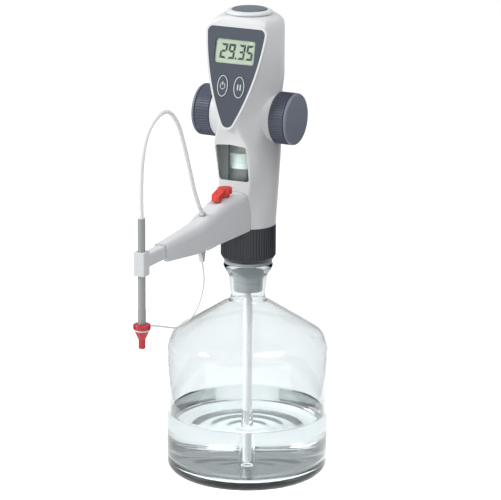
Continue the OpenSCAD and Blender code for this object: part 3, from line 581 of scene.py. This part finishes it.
def openings():
    """Holes that both shells share: for the column below, the top key and the shaft."""
    return [rod("Z", CASING_Z - 1, CASING_Z + 3, 16.1, (0, 0)), rod("Z", DECK_Z - 4, DECK_Z + 1, 8, (0, 0)),
            rod("X", -31, 31, BUSH_R, (SHAFT_Y, WHEEL_Z))]


def cavity():
    return casing_body(WALL, CASING_Z + 2, DECK_Z - 2.2, 4.0)


def front_shell():
    obj = piece("front_shell", casing_body(0, CASING_Z, DECK_Z), CASING_ABS, "head", "front_housing")
    carve(obj, "UNION", [plate(shield(1.9), -0.7, 3)] + bosses(18))
    carve(obj, "DIFFERENCE", [cavity()])
    carve(obj, "UNION", bosses(26))
    carve(obj, "DIFFERENCE", [
        block(-50, 50, SPLIT_Y, 60, 230, 440),
        plate(shield(0.1), -3, 1),
        plate(rounded_box(0, 69.4, 20.8, 12.4, 1), -3, 9),
        plate(rounded_box(0, 38, 15.2, 11.4, 1), -3, 9),
        rings_mesh("window_hole", [[(x, y, z) for x, z in window_outline()] for y in (-60, -20)]),
        arm_passage()] + openings())
    return finished(obj, 32, 0.25)


def rear_shell():
    obj = piece("rear_shell", casing_body(0, CASING_Z, DECK_Z), CASING_ABS, "head", "rear_housing")
    carve(obj, "UNION", bosses(18))
    carve(obj, "DIFFERENCE", [cavity()])
    carve(obj, "UNION", bosses(26))
    carve(obj, "DIFFERENCE", [block(-50, 50, -60, SPLIT_Y, 230, 440), block(-14, 14, 12, 40, 380, 424)] + openings())
    return finished(obj, 32, 0.25)


front_shell()
rear_shell()


# ---------- handwheels ----------

def rib_ring():
    """Geometry nodes: round ribs in a ring about Z, joined to the body that comes in."""
    tree = bpy.data.node_groups.new("rib_ring", "GeometryNodeTree")
    ports = tree.interface
    ports.new_socket("Body", in_out="INPUT", socket_type="NodeSocketGeometry")
    ports.new_socket("Count", in_out="INPUT", socket_type="NodeSocketInt")
    for name in ("Ring Radius", "Rib Radius", "Rib Length", "Middle Height"):
        ports.new_socket(name, in_out="INPUT", socket_type="NodeSocketFloat")
    ports.new_socket("Finish", in_out="INPUT", socket_type="NodeSocketMaterial")
    ports.new_socket("Geometry", in_out="OUTPUT", socket_type="NodeSocketGeometry")
    given = add(tree, "NodeGroupInput").outputs
    ring = add(tree, "GeometryNodeMeshCircle", links={"Vertices": given["Count"], "Radius": given["Ring Radius"]})
    lift = add(tree, "ShaderNodeCombineXYZ", links={"Z": given["Middle Height"]})
    raised = add(tree, "GeometryNodeTransform", links={"Geometry": ring.outputs["Mesh"],
                                                       "Translation": lift.outputs["Vector"]})
    rib = add(tree, "GeometryNodeMeshCylinder", {"Vertices": 10},
              {"Radius": given["Rib Radius"], "Depth": given["Rib Length"]})
    ribs = add(tree, "GeometryNodeInstanceOnPoints", links={"Points": raised.outputs["Geometry"],
                                                           "Instance": rib.outputs["Mesh"]})
    both = add(tree, "GeometryNodeJoinGeometry", links={"Geometry": given["Body"]})
    tree.links.new(ribs.outputs["Instances"], both.inputs["Geometry"])
    solid = add(tree, "GeometryNodeRealizeInstances", links={"Geometry": both.outputs["Geometry"]})
    dressed = add(tree, "GeometryNodeSetMaterial", links={"Geometry": solid.outputs["Geometry"],
                                                          "Material": given["Finish"]})
    add(tree, "NodeGroupOutput", links={"Geometry": dressed.outputs["Geometry"]})
    return tree


RIB_RING = rib_ring()
WHEEL_R, WHEEL_IN, CAP_X = 23.75, 30.6, 45.4
SHAFT_R, HUB_R, RIB_R, RIB_COUNT = 1.8, 3, 0.62, 60


def wheel_outline():
    """Half section of a handwheel, (radius, distance from the middle of the casing)."""
    rim = WHEEL_R - RIB_R
    return [(SHAFT_R, CAP_X), (WHEEL_R - 1.6, CAP_X), (WHEEL_R - 1.6, CAP_X - 0.6), (rim - 0.4, CAP_X - 0.7),
            (rim, CAP_X - 1.1), (rim, WHEEL_IN + 0.4), (rim - 0.4, WHEEL_IN), (WHEEL_R - 3, WHEEL_IN),
            (WHEEL_R - 3, CAP_X - 3), (BUSH_R, CAP_X - 3), (BUSH_R, WHEEL_IN), (HUB_R, WHEEL_IN), (HUB_R, 18),
            (SHAFT_R, 18)]


def handwheel(node, side):
    """Ribbed handwheel; side is 1 on the right and -1 on the left."""
    obj = piece(node + "_ribbed", lathe(node, wheel_outline()), WHEEL_PP, "handwheels", node)
    obj.data.shade_smooth()
    ribs = obj.modifiers.new("ribs", "NODES")
    ribs.node_group = RIB_RING
    low, high = WHEEL_IN + 0.3, CAP_X - 0.9
    sizes = {"Count": RIB_COUNT, "Ring Radius": (WHEEL_R - RIB_R) * MM, "Rib Radius": RIB_R * MM,
             "Rib Length": (high - low) * MM, "Middle Height": (high + low) / 2 * MM, "Finish": WHEEL_PP}
    for socket in RIB_RING.interface.items_tree:
        if socket.name in sizes:
            ribs[socket.identifier] = sizes[socket.name]
    apply_modifiers(obj)
    obj.data.transform(Matrix.Translation((0, SHAFT_Y * MM, WHEEL_Z * MM))
                       @ Matrix.Rotation(side * math.pi / 2, 4, "Y"))
    obj.data.shade_smooth()
    obj.data.set_sharp_from_angle(angle=math.radians(40))


handwheel("right_handwheel", 1)
handwheel("left_handwheel", -1)


# ---------- other mouldings ----------

for node in ("titrating_arm", "battery_cover"):
    softened(node, 0, 28)
for node in ("arm_extension", "tube_clamp", "top_ring", "clear_key", "screw_cap", "wheel_caps"):
    softened(node, 0.25, 32)
casts_no_shadow(softened("inspection_window", 0.25, 32))
casts_no_shadow(softened("glass_cylinder", 0, 30))
casts_no_shadow(softened("display_lens", 0, 30))
softened("valve_lever", 0.9, 40)
for node in ("bottle_adapter", "piston", "piston_seal", "guide_tube", "hose_gland", "union_nut",
             "upper_filling_tube", "lower_filling_tube", "control_panel", "power_key", "pause_key", "shaft_bushes",
             "valve_block", "discharge_valve", "titrating_tip"):
    softened(node, 0, 30)

# the key's spring gets a mesh of its own
spring = softened("clear_key_spring", 0, 50)
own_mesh(spring)

RING_R, RING_Z, REACH = 6.75, 188, 200.5
eyelet = lathe("tether_eyelet", arc((RING_R, RING_Z), 0.7, 0, 360, 12)[:-1], 48)
eyelet.transform(Matrix.Translation((0, -REACH * MM, 0)))
finished(piece("tether_eyelet", eyelet, TETHER_TPE, "cap"), 50)


# ---------- panel prints ----------

def slab(outlines, top, bottom):
    """Flat patches on the panel between two depths as points and faces; each outline is a list of (x, s)."""
    verts, faces = [], []
    for outline in outlines:
        n, k = len(outline), len(verts)
        verts += [on_panel(x, s, top) for x, s in outline] + [on_panel(x, s, bottom) for x, s in outline]
        faces += [tuple(k + i for i in range(n)), tuple(k + n + i for i in reversed(range(n)))]
        faces += [(k + i, k + n + i, k + n + (i + 1) % n, k + (i + 1) % n) for i in range(n)]
    return verts, faces


def oval_ring(x, s, half_w, half_h, width, steps=48):
    """Oval ring as short four-sided patches."""
    out = []
    for a, b in ((math.tau * i / steps, math.tau * (i + 1) / steps) for i in range(steps)):
        out.append([(x + (half_w - w) * math.cos(c), s + (half_h - w) * math.sin(c))
                    for c, w in ((a, 0), (b, 0), (b, width), (a, width))])
    return out


def printed(name, parts, material, body):
    """One print made of slabs."""
    verts, faces = [], []
    for v, f in parts:
        faces += [tuple(i + len(verts) for i in face) for face in f]
        verts += v
    return piece(name, mesh_of(name, verts, faces), material, body)


def bar(x0, s0, x1, s1):
    return [(x0, s0), (x1, s0), (x1, s1), (x0, s1)]


KEY_X, KEY_S, KEY_TOP = 8.25, 38, -0.6
RIM_DEPTH, SIGN_DEPTH = (KEY_TOP - 0.25, KEY_TOP + 0.05), (KEY_TOP - 0.06, KEY_TOP + 0.05)
printed("power_key_print", [
    slab(oval_ring(-KEY_X, KEY_S, 5.3, 9.7, 0.7), *RIM_DEPTH),
    slab(oval_ring(-KEY_X, KEY_S, 2.6, 3, 0.55), *SIGN_DEPTH),
    slab([bar(-KEY_X - 0.3, KEY_S + 0.6, -KEY_X + 0.3, KEY_S + 4.2)], *SIGN_DEPTH),
], PALE_PRINT, "power_button")
printed("pause_key_print", [
    slab(oval_ring(KEY_X, KEY_S, 5.3, 9.7, 0.7), *RIM_DEPTH),
    slab([bar(KEY_X + x - 0.55, KEY_S - 2.6, KEY_X + x + 0.55, KEY_S + 2.6) for x in (-1.3, 1.3)], *SIGN_DEPTH),
], PALE_PRINT, "pause_button")

# bars of one numeral that are on: top, upper left, upper right, middle, lower left, lower right, bottom
NUMERALS = {"2": (1, 0, 1, 1, 1, 0, 1), "9": (1, 1, 1, 1, 0, 1, 1), "3": (1, 0, 1, 1, 0, 1, 1),
            "5": (1, 1, 0, 1, 0, 1, 1)}
NUMERAL_W, NUMERAL_H, BAR_T, BAR_GAP, LEAN = 6.8, 13.6, 2.05, 0.1, 0.09


def numeral(kind, x, s):
    """Outlines of one display numeral with its lower left corner at x, s, leaning a little."""
    w, h, t, g = NUMERAL_W, NUMERAL_H, BAR_T, BAR_GAP
    m = h / 2
    bars = [
        [(g, h), (w - g, h), (w - t - g, h - t), (t + g, h - t)],
        [(0, h - g), (t, h - t - g), (t, m + t / 2 + g), (0, m + g)],
        [(w, h - g), (w, m + g), (w - t, m + t / 2 + g), (w - t, h - t - g)],
        [(t * 0.4 + g, m), (t + g, m + t / 2), (w - t - g, m + t / 2), (w - t * 0.4 - g, m),
         (w - t - g, m - t / 2), (t + g, m - t / 2)],
        [(0, g), (0, m - g), (t, m - t / 2 - g), (t, t + g)],
        [(w, g), (w - t, t + g), (w - t, m - t / 2 - g), (w, m - g)],
        [(g, 0), (t + g, t), (w - t - g, t), (w - g, 0)],
    ]
    return [[(x + a + b * LEAN, s + b) for a, b in outline] for outline, on in zip(bars, NUMERALS[kind]) if on]


DISPLAY_S = 69.4
figures = [outline for kind, x in (("2", -15.4), ("9", -7.4), ("3", 2.6), ("5", 10.6))
           for outline in numeral(kind, x, DISPLAY_S - NUMERAL_H / 2)]
figures.append(bar(0.2, DISPLAY_S - NUMERAL_H / 2, 2, DISPLAY_S - NUMERAL_H / 2 + 1.8))
printed("display_figures", [slab(figures, 0.93, 0.99)], LCD_INK, "head")


# ---------- room ----------

def square(name, place, aim, width, height, material):
    """Upright or lying sheet of the studio, facing aim."""
    w, h = width / 2, height / 2
    mesh = bpy.data.meshes.new(name)
    mesh.from_pydata([(-w, -h, 0), (w, -h, 0), (w, h, 0), (-w, h, 0)], [], [(0, 1, 2, 3)])
    mesh.materials.append(material)
    obj = bpy.data.objects.new(name, mesh)
    bpy.context.collection.objects.link(obj)
    obj.location = place
    obj.rotation_euler = (Vector(aim) - Vector(place)).to_track_quat("Z", "Y").to_euler()
    return obj


def paper():
    """White paper of the bench: seen a little brighter than it is lit, so that it fades to white round the shadow."""
    material, tree = empty_material("white_paper")
    rays = add(tree, "ShaderNodeLightPath").outputs
    seen = add(tree, "ShaderNodeMath", links={0: rays["Is Camera Ray"], 1: rays["Is Glossy Ray"]},
               operation="MAXIMUM")
    seen = add(tree, "ShaderNodeMath", links={0: seen.outputs[0], 1: rays["Is Transmission Ray"]},
               operation="MAXIMUM")
    glow = add(tree, "ShaderNodeEmission", {"Color": (PAPER_GLOW, PAPER_GLOW, PAPER_GLOW, 1)},
               {"Strength": seen.outputs[0]})
    matt = add(tree, "ShaderNodeBsdfDiffuse", {"Color": (0.86, 0.86, 0.86, 1)})
    both = add(tree, "ShaderNodeAddShader", links={0: glow.outputs[0], 1: matt.outputs[0]})
    add(tree, "ShaderNodeOutputMaterial", links={"Surface": both.outputs[0]})
    return material


def black_card():
    material, tree = empty_material("black_card")
    matt = add(tree, "ShaderNodeBsdfDiffuse", {"Color": (0.02, 0.02, 0.02, 1)})
    add(tree, "ShaderNodeOutputMaterial", links={"Surface": matt.outputs[0]})
    return material


def sky():
    """Soft even light from all round; white where the camera sees it, and nearly so through clear pieces."""
    world = bpy.data.worlds.new("studio")
    world.use_nodes = True
    tree = world.node_tree
    tree.nodes.clear()
    rays = add(tree, "ShaderNodeLightPath").outputs
    lit = add(tree, "ShaderNodeBackground", {"Color": (1, 1, 1, 1), "Strength": SKY_STRENGTH})
    bright = add(tree, "ShaderNodeBackground", {"Color": (1, 1, 1, 1), "Strength": 1.0})
    seen = add(tree, "ShaderNodeMath", {1: 0.5}, {0: rays["Is Transmission Ray"], 2: rays["Is Camera Ray"]},
               operation="MULTIPLY_ADD")
    pick = add(tree, "ShaderNodeMixShader", links={0: seen.outputs[0], 1: lit.outputs[0], 2: bright.outputs[0]})
    add(tree, "ShaderNodeOutputWorld", links={"Surface": pick.outputs[0]})
    bpy.context.scene.world = world


def light(name, kind, place, aim, power):
    data = bpy.data.lights.new(name, kind)
    data.energy = power
    obj = bpy.data.objects.new(name, data)
    bpy.context.collection.objects.link(obj)
    obj.location = place
    obj.rotation_euler = (Vector(aim) - Vector(place)).to_track_quat("-Z", "Y").to_euler()
    return data


def softbox(name, place, aim, size, power):
    data = light(name, "AREA", place, aim, power)
    data.shape = "DISK"
    data.size = size


PAPER_GLOW, SKY_STRENGTH = 0.5, 0.46
square("bench", (0, 0, -0.0002), (0, 0, 1), 18, 18, paper())
# cards out of the picture: the flag keeps light off the lower right side of the casing, and the other two are
# seen only in gloss, as grey lines along the edges of glass
for name, place in (("flag", (0.34, 0.05, 0.17)), ("line_right", (0.218, 0.164, 0.15)),
                    ("line_left", (-0.245, -0.072, 0.15))):
    card = square(name, place, (0, 0, 0.15), 0.5, 0.34, black_card())
    card.visible_camera = card.visible_transmission = card.visible_shadow = False
    card.visible_diffuse = name == "flag"
    card.visible_glossy = name != "flag"
sky()
softbox("key_softbox", (-1.6, -1.4, 1.6), (0, 0, 0.2), 0.8, 38)
softbox("top_softbox", (0.9, -0.1, 2.0), (0, 0, 0.3), 1.2, 15)
# a narrow beam through the window, so that the cylinder behind it shows
snoot = light("window_snoot", "SPOT", (0.75, -1.4, 0.62), (0, -0.03, 0.301), 20)
snoot.spot_size = math.radians(2)
snoot.spot_blend = 1
bpy.context.scene.view_settings.view_transform = "Standard"
